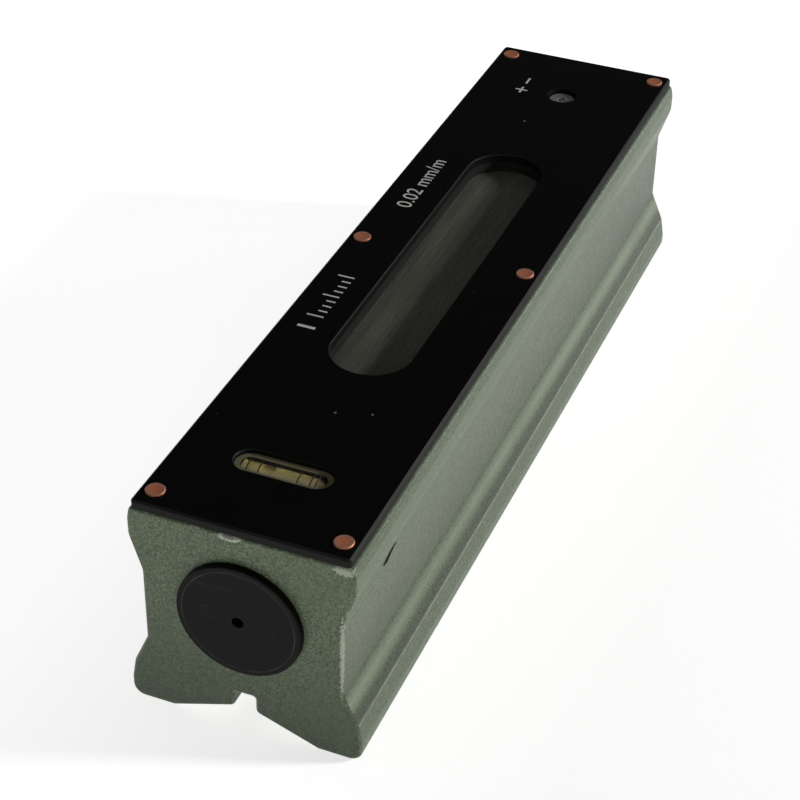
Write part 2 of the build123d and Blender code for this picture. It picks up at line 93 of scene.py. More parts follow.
def put(tree, kind, inputs=None, **settings):
    """Add a node with its settings, then set each input given or link it.

    An input given as a node is linked to that node's first output in use.
    """
    made = tree.nodes.new(kind)
    for name, value in settings.items():
        setattr(made, name, value)
    for name, value in (inputs or {}).items():
        if isinstance(value, bpy.types.Node):
            value = next(socket for socket in value.outputs if socket.enabled)
        if isinstance(value, bpy.types.NodeSocket):
            tree.links.new(value, made.inputs[name])
        else:
            made.inputs[name].default_value = value
    return made


def new_material(name):
    """An empty node material, its tree and its Object coordinates."""
    made = bpy.data.materials.new(name)
    made.use_nodes = True
    made.node_tree.nodes.clear()
    place = put(made.node_tree, "ShaderNodeTexCoord").outputs["Object"]
    return made, made.node_tree, place


def grain(tree, place, size, detail=2.0, roughness=0.5, stretch=(1, 1, 1)):
    """Noise from 0 to 1 whose lumps have the given size in metres, stretched along the axes."""
    scaled = put(tree, "ShaderNodeMapping", {"Vector": place, "Scale": [1 / s for s in stretch]})
    values = {"Vector": scaled, "Scale": 1 / size, "Detail": detail, "Roughness": roughness}
    return put(tree, "ShaderNodeTexNoise", values)


def most(tree, masks):
    """The greatest of several masks."""
    found = masks[0]
    for mask in masks[1:]:
        found = put(tree, MATH, {0: found, 1: mask}, operation="MAXIMUM")
    return found


def together(tree, masks):
    """Several masks multiplied, so that only what lies in all of them is left."""
    found = masks[0]
    for mask in masks[1:]:
        found = put(tree, MATH, {0: found, 1: mask}, operation="MULTIPLY")
    return found


def within(tree, value, middle, reach, edge=0.02 * MM):
    """1 where a value is nearer to the middle than its reach, 0 elsewhere."""
    offset = put(tree, MATH, {0: value, 1: middle}, operation="SUBTRACT")
    away = put(tree, MATH, {0: offset}, operation="ABSOLUTE")
    return put(tree, RANGE, {0: away, 1: reach - edge, 2: reach + edge, 3: 1.0, 4: 0.0})


def patch(tree, place, centre, radii, ragged=0.35, size=0.5 * MM):
    """1 inside an ellipsoid with a ragged edge, 0 outside it."""
    offset = put(tree, VECTOR, {0: place, 1: centre}, operation="SUBTRACT")
    scaled = put(tree, VECTOR, {0: offset, 1: radii}, operation="DIVIDE")
    reach = put(tree, VECTOR, {0: scaled}, operation="LENGTH")
    rough = put(tree, MATH, {0: grain(tree, place, size, 4.0), 1: 0.5}, operation="SUBTRACT")
    broken = put(tree, MATH, {0: rough, 1: 4 * ragged, 2: reach}, operation="MULTIPLY_ADD")
    return put(tree, RANGE, {0: broken, 1: 0.95, 2: 1.1, 3: 1.0, 4: 0.0})


def coated(tree, colour, coats):
    """A colour with others laid over it in turn, each by its share from 0 to 1."""
    for share, over in coats:
        over = linear(over) if isinstance(over, str) else over
        colour = put(tree, MIX, {0: share, 6: colour, 7: over}, data_type="RGBA")
    return colour


def from_bore_axis(tree, y, z):
    """The distance from the axis of the bore."""
    above = put(tree, MATH, {0: z, 1: bore_z}, operation="SUBTRACT")
    above_squared = put(tree, MATH, {0: above, 1: above}, operation="MULTIPLY")
    squared = put(tree, MATH, {0: y, 1: y, 2: above_squared}, operation="MULTIPLY_ADD")
    return put(tree, MATH, {0: squared}, operation="SQRT")


# Sage hammered enamel sprayed thickly on cast iron: it dries with a fine orange peel that
# breaks highlights into specks. Edges are rubbed to the pale primer, and the faces that
# touch the work, the base and the V, are ground to bare bright iron. Painted shade darkens
# the hollows of the sides and the low part of the ends, with a painted highlight band where
# the flare starts and a painted shade line under the shoulder. The bore and the wells are
# left in dull black foundry paint. The specks are drawn at 0.32 mm, coarser than the real
# ones, to show.
def sage_enamel():
    made, tree, place = new_material("sage_hammered_enamel_on_cast_iron")
    x, y, z = put(tree, SPLIT, {0: place}).outputs
    normal = put(tree, "ShaderNodeNewGeometry").outputs["Normal"]
    end_side = put(tree, MATH, {0: put(tree, SPLIT, {0: normal})}, operation="ABSOLUTE")
    on_end = put(tree, RANGE, {0: end_side, 1: 0.9, 2: 0.97})
    off_end = put(tree, RANGE, {0: end_side, 1: 0.2, 2: 0.4, 3: 1.0, 4: 0.0})
    away = put(tree, MATH, {0: y}, operation="ABSOLUTE")
    side = together(tree, [put(tree, RANGE, {0: away, 1: side_y[0], 2: side_y[1]}), off_end])

    peel = grain(tree, place, 0.9 * MM, 3.0, 0.6)
    speck = grain(tree, place, 0.32 * MM, 2.0, 0.6)
    cloud = grain(tree, place, 22 * MM, 3.0, 0.55)
    rubbed = grain(tree, place, 2.4 * MM, 5.0, 0.65)

    # Paint worn to the primer along the ends' edges, and the chips on the near end
    edge = together(
        tree,
        [
            put(tree, RANGE, {0: end_side, 1: 0.25, 2: 0.5}),
            put(tree, RANGE, {0: end_side, 1: 0.9, 2: 0.97, 3: 1.0, 4: 0.0}),
        ],
    )
    edge_wear = together(tree, [edge, put(tree, RANGE, {0: rubbed, 1: 0.56, 2: 0.64, 4: 0.4})])
    chips = [
        (patch(tree, place, (-end_x, 1.9 * MM, 46.2 * MM), (1.4 * MM, 2.1 * MM, 0.8 * MM), 0.3), 0.85),
        (patch(tree, place, (-end_x, -20.6 * MM, 45.9 * MM), (1.5 * MM, 2.0 * MM, 0.9 * MM), 0.5), 0.6),
        (patch(tree, place, (-end_x, -20.1 * MM, 25 * MM), (0.8 * MM, 0.45 * MM, 9 * MM), 0.6), 0.65),
    ]
    worn = most(tree, [edge_wear] + [together(tree, [chip, share]) for chip, share in chips])
    bared = patch(tree, place, (-end_x, 1.9 * MM, 46.3 * MM), (0.9 * MM, 1.4 * MM, 0.45 * MM), 0.3)

    # A thin painted shade line under the shoulder, where it turns under
    painted_shade_line = together(
        tree,
        [
            within(tree, z, shade_line_z, 0.08 * MM, 0.05 * MM),
            put(tree, RANGE, {0: away, 1: 20 * MM, 2: 20.5 * MM}),
            put(tree, RANGE, {0: cloud, 1: 0.35, 2: 0.55, 3: 0.15, 4: 0.55}),
            off_end,
        ],
    )

    speckled = put(tree, RANGE, {0: speck, 1: 0.38, 2: 0.62})
    clouded = put(tree, RANGE, {0: cloud, 1: 0.3, 2: 0.75, 4: 0.45})
    coats = [
        (speckled, "#68755b"),
        (clouded, "#4f5c46"),
        (worn, "#a9ad9c"),
        (bared, "#6e6f68"),
        (painted_shade_line, "#2f372b"),
    ]
    colour = coated(tree, linear("#2f3b27"), coats)

    # Painted shade on the sides, by height, darkest in the hollows
    height = put(tree, RANGE, {0: z, 2: side_shade_top * MM})
    painted_shade_ramp = put(tree, "ShaderNodeValToRGB", {0: height})
    stops = painted_shade_ramp.color_ramp.elements
    while len(stops) < len(side_shade):
        stops.new(0.5)
    for stop, (height_mm, light) in zip(stops, side_shade):
        stop.position = height_mm / side_shade_top
        stop.color = (light, light, light, 1.0)
    colour = put(tree, MIX, {0: side, 6: colour, 7: painted_shade_ramp}, data_type="RGBA", blend_type="MULTIPLY")

    # A painted highlight where the flare starts, a paler line along the crease, and painted shade low on the
    # ends
    painted_highlight = within(tree, z, highlight_band_z, 0.9 * MM, 1.2 * MM)
    painted_highlight = together(tree, [side, painted_highlight, put(tree, RANGE, {0: cloud, 1: 0.3, 2: 0.6, 3: 0.35, 4: 0.6})])
    crease = within(tree, z, crease_z, 0.22 * MM, 0.15 * MM)
    crease = together(tree, [side, crease, put(tree, RANGE, {0: rubbed, 1: 0.35, 2: 0.6, 3: 0.25, 4: 0.6})])
    # Painted shade on the ends, darker toward the bottom
    painted_low_shade = together(tree, [put(tree, RANGE, {0: z, 1: 3 * MM, 2: 27 * MM, 3: 0.5, 4: 0.0}), on_end])

    # Ground faces: the two flanks of the V and the base
    inward = put(tree, MATH, {0: vee_half_width, 1: away}, operation="SUBTRACT")
    flank = put(tree, MATH, {0: inward, 1: vee_slope}, operation="MULTIPLY")
    above_flank = put(tree, MATH, {0: z, 1: flank}, operation="SUBTRACT")
    ground = most(tree, [within(tree, above_flank, 0.0, 0.12 * MM), within(tree, z, 0.0, 0.08 * MM)])
    ground = together(tree, [ground, put(tree, RANGE, {0: end_side, 1: 0.4, 2: 0.5, 3: 1.0, 4: 0.0})])
    scratch = grain(tree, place, 0.25 * MM, 3.0, 0.6, (60, 1, 1))
    iron = coated(tree, linear("#8d8d8a"), [(scratch, "#b3b3af")])

    # The bore, the window's well and the cross vial's pocket
    bore = within(tree, from_bore_axis(tree, y, z), 0.0, bore_radius)
    high = put(tree, RANGE, {0: z, 1: bore_z, 2: bore_z + 0.5 * MM})
    well = [within(tree, x, 0.0, well_half_length), within(tree, y, 0.0, well_half_width)]
    pocket = [within(tree, x, cross_x, pocket_half_length), within(tree, y, 0.0, pocket_half_width)]
    wells = most(tree, [together(tree, well), together(tree, pocket)])
    hidden = most(tree, [bore, together(tree, [high, wells])])
    dull = coated(tree, linear("#191a18"), [(cloud, "#252623")])

    coats = [(painted_highlight, "#8f9a84"), (crease, "#98a08d"), (painted_low_shade, "#2f3a2a"), (ground, iron), (hidden, dull)]
    colour = coated(tree, colour, coats)

    gloss = put(tree, RANGE, {0: peel, 1: 0.3, 2: 0.7, 3: 0.32, 4: 0.44})
    gloss = put(tree, MIX, {0: ground, 2: gloss, 3: 0.3})
    gloss = put(tree, MIX, {0: hidden, 2: gloss, 3: 0.7})
    painted = put(tree, MATH, {0: 1.0, 1: most(tree, [ground, hidden])}, operation="SUBTRACT")
    relief = put(tree, MATH, {0: speck, 1: 0.35, 2: peel}, operation="MULTIPLY_ADD")
    relief = together(tree, [relief, painted])
    values = {
        "Base Color": colour,
        "Metallic": ground,
        "Roughness": gloss,
        "IOR": 1.5,
        "Specular IOR Level": 0.27,
        "Normal": put(tree, BUMP, {"Height": relief, "Distance": 0.05 * MM, "Strength": 0.75}),
    }
    put(tree, OUTPUT, {"Surface": put(tree, PRINCIPLED, values)})
    return made


# Black lacquer on a steel plate, flatted and polished: a deep black with hairline scratches
# that only widen its reflections, and a little dust lying on it. Its cut edges are matt and
# its chamfered corners a little paler in patches. The hairlines are drawn coarser than the real ones, to
# show.
def black_lacquer():
    made, tree, place = new_material("gloss_black_lacquer_on_steel")
    hairline = grain(tree, place, 0.18 * MM, 4.0, 0.65, (90, 1, 1))
    cross_line = grain(tree, place, 0.2 * MM, 4.0, 0.65, (1, 60, 1))
    haze = grain(tree, place, 14 * MM, 4.0, 0.6)
    scratched = most(
        tree,
        [
            put(tree, RANGE, {0: hairline, 1: 0.62, 2: 0.8}),
            put(tree, RANGE, {0: cross_line, 1: 0.68, 2: 0.85}),
        ],
    )
    values = {"Vector": place, "Scale": 1 / (2.6 * MM), "Randomness": 1.0}
    dots = put(tree, "ShaderNodeTexVoronoi", values).outputs
    reach = put(tree, RANGE, {0: put(tree, SPLIT, {0: dots["Color"]}), 1: 0.9, 2: 1.0, 4: 0.055})
    dust = put(tree, MATH, {0: dots["Distance"], 1: reach}, operation="LESS_THAN")
    motes = [
        patch(tree, place, (x * MM, y * MM, plate_top), (long * MM, wide * MM, 0.5 * MM), 0.2, 0.2 * MM)
        for x, y, long, wide in ((-61, -1.7, 0.35, 0.25), (-58.8, -8.5, 0.3, 0.22), (64, 4, 0.3, 0.3))
    ]
    normal = put(tree, "ShaderNodeNewGeometry").outputs["Normal"]
    facing_up = put(tree, SPLIT, {0: normal}).outputs[2]
    sheared = put(tree, RANGE, {0: facing_up, 1: 0.3, 2: 0.6, 3: 1.0, 4: 0.0})
    corner = within(tree, facing_up, 0.707, 0.12, 0.03)
    pale_chamfer = together(tree, [corner, put(tree, RANGE, {0: haze, 1: 0.3, 2: 0.7, 3: 0.2, 4: 0.5})])
    coats = [
        (haze, "#0e0e0d"),
        (together(tree, [scratched, 0.12]), "#3b3b38"),
        (most(tree, [together(tree, [dust, 0.5])] + motes), "#77766f"),
        (pale_chamfer, "#2c2c2a"),
    ]
    gloss = put(tree, RANGE, {0: haze, 1: 0.3, 2: 0.7, 3: 0.14, 4: 0.2})
    gloss = put(tree, MATH, {0: scratched, 1: 0.12, 2: gloss}, operation="MULTIPLY_ADD")
    gloss = put(tree, MIX, {0: sheared, 2: gloss, 3: 0.65})
    gloss = put(tree, MIX, {0: corner, 2: gloss, 3: 0.45})
    values = {
        "Base Color": coated(tree, linear("#090909"), coats),
        "Roughness": gloss,
        "IOR": 1.5,
        "Specular IOR Level": 0.15,
        "Normal": put(tree, BUMP, {"Height": hairline, "Distance": 0.004 * MM, "Strength": 0.5}),
    }
    put(tree, OUTPUT, {"Surface": put(tree, PRINCIPLED, values)})
    return made


# Copper studs with spun dished heads: the raised rim is rubbed bright and pink, and its
# paler colour is also a painted highlight; the dish keeps a browner tarnish with fine marks from driving.
def copper():
    made, tree, place = new_material("tarnished_copper_rubbed_at_the_rim")
    height = put(tree, SPLIT, {0: place}).outputs[2]
    mottle = grain(tree, place, 0.7 * MM, 4.0, 0.6)
    marks = grain(tree, place, 0.12 * MM, 3.0, 0.6)
    rim = put(tree, RANGE, {0: height, 1: stud_top - 0.03 * MM, 2: stud_top - 0.01 * MM})
    dish = coated(tree, linear("#cf7350"), [(mottle, "#e89871")])
    # The rim's colour: rubbed copper, and a painted highlight
    bright = coated(tree, linear("#dda08a"), [(mottle, "#f0c0ad")])
    tarnish = put(tree, RANGE, {0: mottle, 1: 0.3, 2: 0.7, 3: 0.42, 4: 0.56})
    values = {
        "Base Color": coated(tree, dish, [(rim, bright)]),
        "Metallic": put(tree, MIX, {0: rim, 2: 0.3, 3: 0.6}),
        "Roughness": put(tree, MIX, {0: rim, 2: tarnish, 3: 0.36}),
        "Normal": put(tree, BUMP, {"Height": marks, "Distance": 0.02 * MM, "Strength": 0.6}),
    }
    put(tree, OUTPUT, {"Surface": put(tree, PRINCIPLED, values)})
    return made


# Compression-moulded black plastic from a lightly polished mould: a soft sheen, faint
# flow mottle, grey scuffs and a painted highlight in a ring just inside its rim.
def moulded_black():
    made, tree, place = new_material("black_moulded_plastic_lightly_scuffed")
    y, z = put(tree, SPLIT, {0: place}).outputs[1:]
    mottle = grain(tree, place, 6 * MM, 4.0, 0.6)
    leather = grain(tree, place, 0.35 * MM, 2.0, 0.5)
    scuff_across = grain(tree, place, 0.3 * MM, 3.0, 0.6, (1, 40, 3))
    scuff_up = grain(tree, place, 0.3 * MM, 3.0, 0.6, (1, 2, 40))
    scuffs = most(
        tree,
        [
            put(tree, RANGE, {0: scuff_across, 1: 0.66, 2: 0.8}),
            put(tree, RANGE, {0: scuff_up, 1: 0.68, 2: 0.82}),
        ],
    )
    # A painted highlight: a paler ring just inside the rim
    painted_rim_highlight = within(tree, from_bore_axis(tree, y, z), cap_radius - 1.2 * MM, 0.12 * MM, 0.1 * MM)
    painted_rim_highlight = together(tree, [painted_rim_highlight, put(tree, RANGE, {0: mottle, 1: 0.4, 2: 0.6, 3: 0.15, 4: 0.5})])
    coats = [(mottle, "#10100f"), (together(tree, [scuffs, 0.4]), "#5a5a58"), (painted_rim_highlight, "#4a4a48")]
    gloss = put(tree, RANGE, {0: mottle, 1: 0.3, 2: 0.7, 3: 0.42, 4: 0.52})
    values = {
        "Base Color": coated(tree, linear("#090909"), coats),
        "Roughness": put(tree, MATH, {0: scuffs, 1: 0.15, 2: gloss}, operation="MULTIPLY_ADD"),
        "IOR": 1.45,
        "Specular IOR Level": 0.09,
        "Normal": put(tree, BUMP, {"Height": leather, "Distance": 0.02 * MM, "Strength": 0.5}),
    }
    put(tree, OUTPUT, {"Surface": put(tree, PRINCIPLED, values)})
    return made


def let_light_in(tree, shader, tint):
    """A clear shader that casts a tinted light shadow in place of a black one."""
    shadow = put(tree, "ShaderNodeLightPath").outputs["Is Shadow Ray"]
    clear = put(tree, "ShaderNodeBsdfTransparent", {"Color": tint})
    return put(tree, MIX_SHADER, {0: shadow, 1: shader, 2: clear})


# Flat drawn glass under a film of dust that cleaning has pulled into lengthways streaks. The
# film turns its top grey where light strikes it, and the vial below shows only faintly.
def pane_glass():
    made, tree, place = new_material("drawn_glass_with_streaked_dust")
    streak = grain(tree, place, 0.5 * MM, 4.0, 0.65, (40, 1, 1))
    broad = grain(tree, place, 9 * MM, 3.0, 0.5, (4, 1, 1))
    normal = put(tree, "ShaderNodeNewGeometry").outputs["Normal"]
    film = together(
        tree,
        [
            put(tree, RANGE, {0: streak, 1: 0.32, 2: 0.72, 3: 0.45, 4: 0.8}),
            put(tree, RANGE, {0: broad, 1: 0.3, 2: 0.7, 3: 0.75, 4: 1.1}),
            put(tree, RANGE, {0: put(tree, SPLIT, {0: normal}).outputs[2], 1: 0.9, 2: 0.99}),
        ],
    )
    values = {
        "Base Color": linear("#e6ebe2"),
        "Roughness": put(tree, RANGE, {0: streak, 1: 0.3, 2: 0.7, 3: 0.02, 4: 0.08}),
        "IOR": 1.5,
        "Transmission Weight": 1.0,
    }
    dust = put(tree, DIFFUSE, {"Color": linear("#777a6e")})
    filmed = put(tree, MIX_SHADER, {0: film, 1: put(tree, PRINCIPLED, values), 2: dust})
    put(tree, OUTPUT, {"Surface": let_light_in(tree, filmed, linear("#1c1e1b"))})
    return made


# Fire-polished vial glass: smooth, with a faint lengthways ripple from drawing the tube.
def vial_glass(name, stretch):
    made, tree, place = new_material(name)
    ripple = grain(tree, place, 1.2 * MM, 2.0, 0.5, stretch)
    values = {
        "Base Color": linear("#eef2e8"),
        "Roughness": put(tree, RANGE, {0: ripple, 1: 0.3, 2: 0.7, 3: 0.01, 4: 0.04}),
        "IOR": 1.5,
        "Transmission Weight": 1.0,
        "Normal": put(tree, BUMP, {"Height": ripple, "Distance": 0.01 * MM, "Strength": 0.4}),
    }
    clear = let_light_in(tree, put(tree, PRINCIPLED, values), linear("#e4e8dc"))
    put(tree, OUTPUT, {"Surface": clear})
    return made


# Dyed spirit: a thin liquid, cloudy by the share given, whose dye is a little deeper toward
# the low end of the given axis.
def spirit(name, pale, deep, axis, cloudy):
    made, tree, place = new_material(name)
    along = put(tree, RANGE, {0: put(tree, SPLIT, {0: place}).outputs[axis], 1: -8 * MM, 2: 8 * MM})
    cloud = grain(tree, place, 5 * MM, 2.0, 0.5)
    thin = put(tree, MATH, {0: cloud, 1: 0.3, 2: along}, operation="MULTIPLY_ADD", use_clamp=True)
    dye = coated(tree, linear(deep), [(thin, pale)])
    values = {"Base Color": dye, "Roughness": 0.0, "IOR": 1.36, "Transmission Weight": 1.0}
    haze = put(tree, DIFFUSE, {"Color": dye})
    liquid = put(tree, MIX_SHADER, {0: cloudy, 1: put(tree, PRINCIPLED, values), 2: haze})
    put(tree, OUTPUT, {"Surface": let_light_in(tree, liquid, dye)})
    return made


# Plaster-like cement that the vials are bedded in: matt, gritty and slightly stained.
def cement(name, dark, light):
    made, tree, place = new_material(name)
    grit = grain(tree, place, 0.3 * MM, 4.0, 0.7)
    stain = grain(tree, place, 4 * MM, 3.0, 0.5)
    pits = put(tree, RANGE, {0: grit, 1: 0.55, 2: 0.75, 4: 0.4})
    values = {
        "Base Color": coated(tree, linear(dark), [(stain, light), (pits, dark)]),
        "Roughness": 0.85,
        "Normal": put(tree, BUMP, {"Height": grit, "Distance": 0.08 * MM, "Strength": 0.8}),
    }
    put(tree, OUTPUT, {"Surface": put(tree, PRINCIPLED, values)})
    return made


# Bare metal parts: fine marks from the tool or the die, drawn out lengthways on the tube and
# the pins, and a mottle of oil or tarnish that dulls them unevenly.
def worked_metal(name, low, high, rough_low, rough_high, stretch):
    made, tree, place = new_material(name)
    line = grain(tree, place, 0.12 * MM, 3.0, 0.6, stretch)
    mottle = grain(tree, place, 3 * MM, 4.0, 0.6)
    share = together(tree, [mottle, 0.6])
    share = put(tree, MATH, {0: line, 1: 0.4, 2: share}, operation="MULTIPLY_ADD")
    values = {
        "Base Color": coated(tree, linear(low), [(share, high)]),
        "Metallic": 1.0,
        "Roughness": put(tree, RANGE, {0: mottle, 1: 0.3, 2: 0.7, 3: rough_low, 4: rough_high}),
        "Normal": put(tree, BUMP, {"Height": line, "Distance": 0.01 * MM, "Strength": 0.5}),
    }
    put(tree, OUTPUT, {"Surface": put(tree, PRINCIPLED, values)})
    return made


# Epoxy ink printed on the plate, or ink fired on the vials: a thin matt film, slightly
# uneven where it went on thin.
def printed_ink(name, thin, full):
    made, tree, place = new_material(name)
    cover = grain(tree, place, 0.25 * MM, 3.0, 0.6)
    covered = put(tree, RANGE, {0: cover, 1: 0.35, 2: 0.6})
    values = {
        "Base Color": coated(tree, linear(thin), [(covered, full)]),
        "Roughness": put(tree, RANGE, {0: cover, 1: 0.3, 2: 0.7, 3: 0.45, 4: 0.6}),
        "IOR": 1.5,
    }
    put(tree, OUTPUT, {"Surface": put(tree, PRINCIPLED, values)})
    return made


enamel = sage_enamel()
lacquer = black_lacquer()
copper_head = copper()
moulded = moulded_black()
pane_finish = pane_glass()
cross_glass = vial_glass("cross_vial_fire_polished_glass", (1, 12, 1))
main_glass = vial_glass("main_vial_fire_polished_glass", (12, 1, 1))
cross_spirit = spirit("olive_dyed_spirit", "#d0bb80", "#c9ae82", axis=1, cloudy=0.8)
main_spirit = spirit("pale_green_dyed_spirit", "#c2c89a", "#b3ba8c", axis=0, cloudy=0.1)
bedding = cement("bedding_cement", "#8f8873", "#c4bca4")
compound = cement("olive_sealing_compound", "#5e5a41", "#8b8565")
screw_steel = worked_metal("oiled_turned_steel", "#bcbdbb", "#dededb", 0.48, 0.62, (1, 1, 1))
pin_steel = worked_metal("bright_drawn_steel", "#8b8c8b", "#b4b5b3", 0.2, 0.32, (1, 30, 1))
spring_steel = worked_metal("blued_spring_steel", "#35373b", "#5b5e63", 0.3, 0.45, (1, 1, 1))
carrier_brass = worked_metal("turned_brass_dulled", "#8c7440", "#b89a5c", 0.3, 0.5, (20, 1, 1))
washer_brass = worked_metal("bright_washer_brass", "#a58a4c", "#c9ab69", 0.22, 0.36, (1, 1, 1))
white_ink = printed_ink("white_printed_ink", "#d4d4ce", "#f4f4f0")
dark_ink = printed_ink("dark_fired_graduation_ink", "#14130f", "#262318")

finishes = {
    "level_casting": enamel,
    "cover_plate": lacquer,
    "cover_studs": copper_head,
    "window_pane": pane_finish,
    "near_end_cap": moulded,
    "far_end_cap": moulded,
    "cross_vial_glass": cross_glass,
    "cross_vial_liquid": cross_spirit,
    "cross_vial_bedding": compound,
    "near_vial_bedding": bedding,
    "far_vial_bedding": bedding,
    "front_pivot_screw": screw_steel,
    "rear_pivot_screw": screw_steel,
    "adjusting_screw": screw_steel,
    "carrier_tube": carrier_brass,
    "near_pivot_plug": carrier_brass,
    "far_lug_plug": carrier_brass,
    "carrier_pins": pin_steel,
    "main_vial_glass": main_glass,
    "main_vial_liquid": main_spirit,
    "thrust_washer": washer_brass,
    "adjusting_spring": spring_steel,
}
for name, finish in finishes.items():
    if not nodes[name].material_slots:
        nodes[name].data.materials.append(finish)
    for filled in nodes[name].material_slots:
        filled.material = finish


def scene_link(thing):
    """Link a new object to the scene."""
    scene.collection.objects.link(thing)
    return thing


def to_mesh(thing, name):
    """A plain mesh object at the origin from any object, with its place in its mesh."""
    bpy.context.view_layer.update()
    graph = bpy.context.evaluated_depsgraph_get()
    mesh = bpy.data.meshes.new_from_object(thing.evaluated_get(graph))
    mesh.transform(thing.matrix_world)
    mesh.name = name
    old = thing.data
    made = scene_link(bpy.data.objects.new(name, mesh))
    bpy.data.objects.remove(thing)
    if isinstance(old, bpy.types.Curve):
        bpy.data.curves.remove(old)
    return made


# Printed marks on the cover plate: plain numbers, a unit and signs, read from the front
ink_thickness = 0.03 * MM


def printed(name, words, left, right, bottom, top):
    """Words printed on the plate, fitted to a box given in millimetres."""
    curve = bpy.data.curves.new(name, "FONT")
    curve.body = words
    curve.extrude = ink_thickness / 2
    curve.resolution_u = 6
    flat = to_mesh(scene_link(bpy.data.objects.new(name + "_text", curve)), name)
    places = [vertex.co for vertex in flat.data.vertices]
    low_x, high_x = min(p.x for p in places), max(p.x for p in places)
    low_y, high_y = min(p.y for p in places), max(p.y for p in places)
    for vertex in flat.data.vertices:
        share_x = (vertex.co.x - low_x) / (high_x - low_x)
        share_y = (vertex.co.y - low_y) / (high_y - low_y)
        vertex.co = (
            (left + share_x * (right - left)) * MM,
            (bottom + share_y * (top - bottom)) * MM,
            plate_top + (ink_thickness if vertex.co.z > 0 else 0),
        )
    flat.data.materials.clear()
    flat.data.materials.append(white_ink)
    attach(flat, "base")


def printed_bars(name, bars):
    """Plain printed bars, each given as its left, right, bottom and top in millimetres."""
    points, faces = [], []
    for left, right, bottom, top in bars:
        start = len(points)
        corners = ((left, bottom), (right, bottom), (right, top), (left, top))
        for z in (plate_top, plate_top + ink_thickness):
            points += [(x * MM, y * MM, z) for x, y in corners]
        quads = [(3, 2, 1, 0), (4, 5, 6, 7), (0, 1, 5, 4), (1, 2, 6, 5), (2, 3, 7, 6), (3, 0, 4, 7)]
        faces += [tuple(start + corner for corner in quad) for quad in quads]
    mesh = bpy.data.meshes.new(name)
    mesh.from_pydata(points, [], faces)
    mesh.materials.append(white_ink)
    made = scene_link(bpy.data.objects.new(name, mesh))
    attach(made, "base")


printed("plate_mark_value", "0.02 mm/m", left=15.5, right=38.2, bottom=13.8, top=17.3)
printed("plate_mark_one", "1", left=-36.8, right=-36.0, bottom=13.5, top=17.4)

# A short scale with every fourth line long, and the two ways the adjuster turns
line_half_width, line_foot, long_line_top, short_line_top = 0.22, 13.6, 17.3, 15.6
scale_lines = [
    (x - line_half_width, x + line_half_width, line_foot, short_line_top if i % 4 else long_line_top)
    for i, x in enumerate(range(-32, -15, 2))
]
plus_bars = [(77.4, 80.4, 9.8, 10.3), (78.65, 79.15, 8.6, 9.8), (78.65, 79.15, 10.3, 11.5)]
minus_bar = (82.4, 85.4, 9.8, 10.3)
printed_bars("plate_mark_scale", scale_lines)
printed_bars("plate_mark_signs", plus_bars + [minus_bar])


# Graduations: thin arcs of ink round the top of a vial, one at each given place along it
quarter_turn = math.pi / 2
arc_lift = 0.02 * MM
arc_steps = 24


def graduation_tree():
    """Sweep a strip of ink along an arc and set a copy at each point."""
    tree = bpy.data.node_groups.new("graduation_arcs", "GeometryNodeTree")
    tree.interface.new_socket("Geometry", in_out="INPUT", socket_type="NodeSocketGeometry")
    for name in ("Arc Radius", "Arc Start", "Arc Sweep", "Line Width", "Ink Thickness"):
        tree.interface.new_socket(name, in_out="INPUT", socket_type="NodeSocketFloat")
    tree.interface.new_socket("Arc Turn", in_out="INPUT", socket_type="NodeSocketVector")
    tree.interface.new_socket("Ink", in_out="INPUT", socket_type="NodeSocketMaterial")
    tree.interface.new_socket("Geometry", in_out="OUTPUT", socket_type="NodeSocketGeometry")
    given = put(tree, "NodeGroupInput").outputs
    arc_values = {
        "Resolution": arc_steps,
        "Radius": given["Arc Radius"],
        "Start Angle": given["Arc Start"],
        "Sweep Angle": given["Arc Sweep"],
    }
    arc = put(tree, "GeometryNodeCurveArc", arc_values)
    line_values = {"Width": given["Ink Thickness"], "Height": given["Line Width"]}
    line = put(tree, "GeometryNodeCurvePrimitiveQuadrilateral", line_values)
    strip_values = {"Curve": arc, "Profile Curve": line, "Fill Caps": True}
    strip = put(tree, "GeometryNodeCurveToMesh", strip_values)
    turn = put(tree, "FunctionNodeEulerToRotation", {0: given["Arc Turn"]})
    turned = put(tree, "GeometryNodeTransform", {"Geometry": strip, "Rotation": turn})
    copies = put(tree, "GeometryNodeInstanceOnPoints", {"Points": given["Geometry"], "Instance": turned})
    real = put(tree, "GeometryNodeRealizeInstances", {0: copies})
    inked = put(tree, "GeometryNodeSetMaterial", {"Geometry": real, "Material": given["Ink"]})
    put(tree, "NodeGroupOutput", {0: inked})
    return tree


def graduations(name, tree, places, radius, half_angle, width, turn, body):
    """Ink arcs at the given places, as one mesh that rides on a body."""
    mesh = bpy.data.meshes.new(name + "_places")
    mesh.from_pydata(places, [], [])
    holder = scene_link(bpy.data.objects.new(name + "_places", mesh))
    layer = holder.modifiers.new("arcs", "NODES")
    layer.node_group = tree
    given = {
        "Arc Radius": radius,
        "Arc Start": quarter_turn - half_angle,
        "Arc Sweep": 2 * half_angle,
        "Line Width": width,
        "Ink Thickness": ink_thickness,
        "Arc Turn": turn,
        "Ink": dark_ink,
    }
    for item in tree.interface.items_tree:
        if item.in_out == "INPUT" and item.name in given:
            layer[item.identifier] = given[item.name]
    made = to_mesh(holder, name)
    bpy.data.meshes.remove(mesh)
    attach(made, body)


